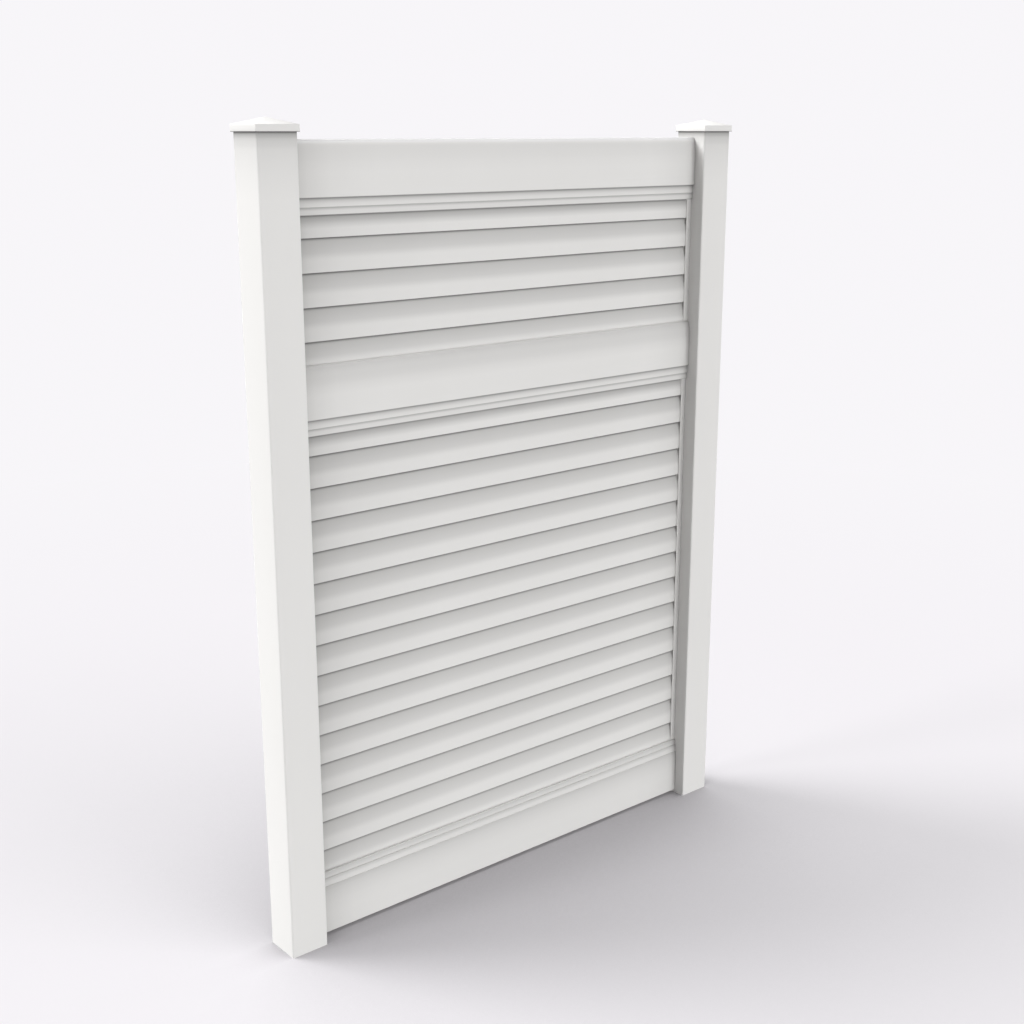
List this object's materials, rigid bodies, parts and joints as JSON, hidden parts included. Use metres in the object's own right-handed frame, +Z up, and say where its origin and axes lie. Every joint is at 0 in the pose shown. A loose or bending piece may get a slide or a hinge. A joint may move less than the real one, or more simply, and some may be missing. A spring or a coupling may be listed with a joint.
{
  "type": "horizontal privacy fence section",
  "caption": "Free-standing section of white vinyl privacy fence: two capped square posts, hollow stepped rails and fields of lapped horizontal louvres that leave no gap to see through.",
  "frame": {"origin": "on the ground midway between the two posts, on the middle plane of the fence's thickness", "axes": "+X along the fence from the left post to the right post as seen from the front, +Y from the front (the side the louvres lap down to) to the back, +Z up"},
  "size_m": [1.877, 0.137, 2.509],
  "materials": {
    "post_vinyl": "white extruded rigid vinyl, smooth, low sheen, faint draw lines along its length",
    "cap_vinyl": "white moulded vinyl, a little glossier than the posts",
    "rail_vinyl": "white extruded rigid vinyl, smooth, low sheen, faint draw lines along its length",
    "louvre_vinyl": "white extruded rigid vinyl, smooth, low sheen",
    "channel_vinyl": "white extruded rigid vinyl trim",
    "galvanised_steel": "hot-dip galvanised sheet with a dull spangle"
  },
  "bodies": {
    "root": {"left_post": "post_vinyl", "right_post": "post_vinyl", "left_post_cap": "cap_vinyl", "right_post_cap": "cap_vinyl", "top_rail": "rail_vinyl", "mid_rail": "rail_vinyl", "bottom_rail": "rail_vinyl", "upper_louvre_01": "louvre_vinyl", "upper_louvre_02": "louvre_vinyl", "upper_louvre_03": "louvre_vinyl", "upper_louvre_04": "louvre_vinyl", "upper_louvre_05": "louvre_vinyl", "lower_louvre_01": "louvre_vinyl", "lower_louvre_02": "louvre_vinyl", "lower_louvre_03": "louvre_vinyl", "lower_louvre_04": "louvre_vinyl", "lower_louvre_05": "louvre_vinyl", "lower_louvre_06": "louvre_vinyl", "lower_louvre_07": "louvre_vinyl", "lower_louvre_08": "louvre_vinyl", "lower_louvre_09": "louvre_vinyl", "lower_louvre_10": "louvre_vinyl", "lower_louvre_11": "louvre_vinyl", "lower_louvre_12": "louvre_vinyl", "lower_louvre_13": "louvre_vinyl", "lower_louvre_14": "louvre_vinyl", "lower_louvre_15": "louvre_vinyl", "upper_left_channel": "channel_vinyl", "upper_right_channel": "channel_vinyl", "lower_left_channel": "channel_vinyl", "lower_right_channel": "channel_vinyl", "bottom_rail_stiffener": "galvanised_steel"}
  },
  "joints": []
}
